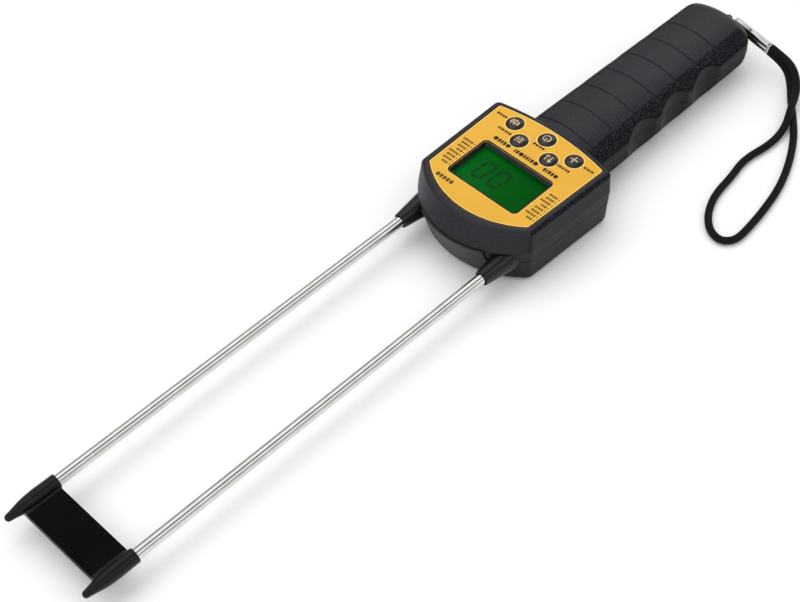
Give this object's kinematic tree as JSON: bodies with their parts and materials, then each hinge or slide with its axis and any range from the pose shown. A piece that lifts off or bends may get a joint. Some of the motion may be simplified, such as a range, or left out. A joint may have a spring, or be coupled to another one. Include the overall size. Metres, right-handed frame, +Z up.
{
  "type": "grain moisture meter",
  "caption": "Handheld grain moisture meter with two long probe rods, a display and key head, a finger grip with a sliding battery cover, and a wrist cord.",
  "frame": {"origin": "under the middle of the meter, on the surface that it rests on", "axes": "+Y from the grip to the probe tips, +Z up out of the face label, +X completes the frame"},
  "size_m": [0.1218, 0.418, 0.0312],
  "materials": {
    "housing_upper": "textured charcoal ABS, satin with a fine leather-like grain",
    "housing_lower": "charcoal ABS, satin",
    "label": "yellow-orange printed film with black outline",
    "window": "clear acrylic window",
    "lcd_glass": "LCD glass sandwich with polarisers",
    "backlight": "green edge-lit light guide",
    "black_plastic": "black moulded plastic",
    "strip_rubber": "elastomer contact strip",
    "board": "green solder-masked circuit board",
    "can_metal": "drawn can",
    "keypad_rubber": "silicone mat",
    "key_gloss": "black key with a gold printed symbol",
    "rod_steel": "polished stainless steel",
    "brass_fixings": "plated brass",
    "cell_jacket": null,
    "spring_steel": "nickel-plated spring steel",
    "lead_red": "red insulated wire",
    "lead_black": "black insulated wire",
    "screw_steel": "zinc-plated steel",
    "ferrule_metal": "polished crimped ferrule",
    "cord_braid": "black braided cord"
  },
  "bodies": {
    "meter": {"battery_1": "cell_jacket", "battery_2": "cell_jacket", "battery_3": "cell_jacket", "battery_4": "cell_jacket", "battery_holder": "black_plastic", "battery_plates": "spring_steel", "battery_springs": "spring_steel", "board_capacitors": "can_metal", "board_chips": "black_plastic", "board_screws": "screw_steel", "buzzer": "black_plastic", "carrier_screws": "screw_steel", "clock_crystal": "can_metal", "display_window": "window", "face_label": "label", "keypad_mat": "keypad_rubber", "lcd_backlight": "backlight", "lcd_contact_strips": "strip_rubber", "lcd_frame": "black_plastic", "lcd_panel": "lcd_glass", "lower_housing": "housing_lower", "main_board": "board", "probe_lead_left": "lead_red", "probe_lead_right": "lead_black", "probe_rod_left": "rod_steel", "probe_rod_right": "rod_steel", "rod_boot_left": "black_plastic", "rod_boot_right": "black_plastic", "rod_carrier": "black_plastic", "rod_nuts": "brass_fixings", "rod_terminals": "brass_fixings", "shell_screws": "screw_steel", "strap_pin": "screw_steel", "supply_lead_left": "lead_red", "supply_lead_right": "lead_black", "tip_bridge": "black_plastic", "upper_housing": "housing_upper"},
    "key_voice": {"key_voice": "key_gloss"},
    "key_variety": {"key_variety": "key_gloss"},
    "key_power": {"key_power": "key_gloss"},
    "key_adjust": {"key_adjust": "key_gloss"},
    "key_limit": {"key_limit": "key_gloss"},
    "battery_cover": {"battery_cover": "housing_lower"},
    "wrist_strap": {"strap_ferrule": "ferrule_metal", "wrist_cord": "cord_braid"}
  },
  "joints": [
    {"name": "key_voice_press", "type": "slide", "parent": "meter", "child": "key_voice", "axis": [0, 0, -1], "range_m": [0, 0.0008], "stiffness_N_per_m": 1500},
    {"name": "key_variety_press", "type": "slide", "parent": "meter", "child": "key_variety", "axis": [0, 0, -1], "range_m": [0, 0.0008], "stiffness_N_per_m": 1500},
    {"name": "key_power_press", "type": "slide", "parent": "meter", "child": "key_power", "axis": [0, 0, -1], "range_m": [0, 0.0008], "stiffness_N_per_m": 1500},
    {"name": "key_adjust_press", "type": "slide", "parent": "meter", "child": "key_adjust", "axis": [0, 0, -1], "range_m": [0, 0.0008], "stiffness_N_per_m": 1500},
    {"name": "key_limit_press", "type": "slide", "parent": "meter", "child": "key_limit", "axis": [0, 0, -1], "range_m": [0, 0.0008], "stiffness_N_per_m": 1500},
    {"name": "battery_cover_slide", "type": "slide", "parent": "meter", "child": "battery_cover", "axis": [0, -1, 0], "range_m": [0, 0.012]},
    {"name": "wrist_strap_swing", "type": "hinge", "parent": "meter", "child": "wrist_strap", "pos_m": [0, -0.2068, 0.0168], "axis": [0, 0, 1], "range_deg": [-3, 183]}
  ]
}
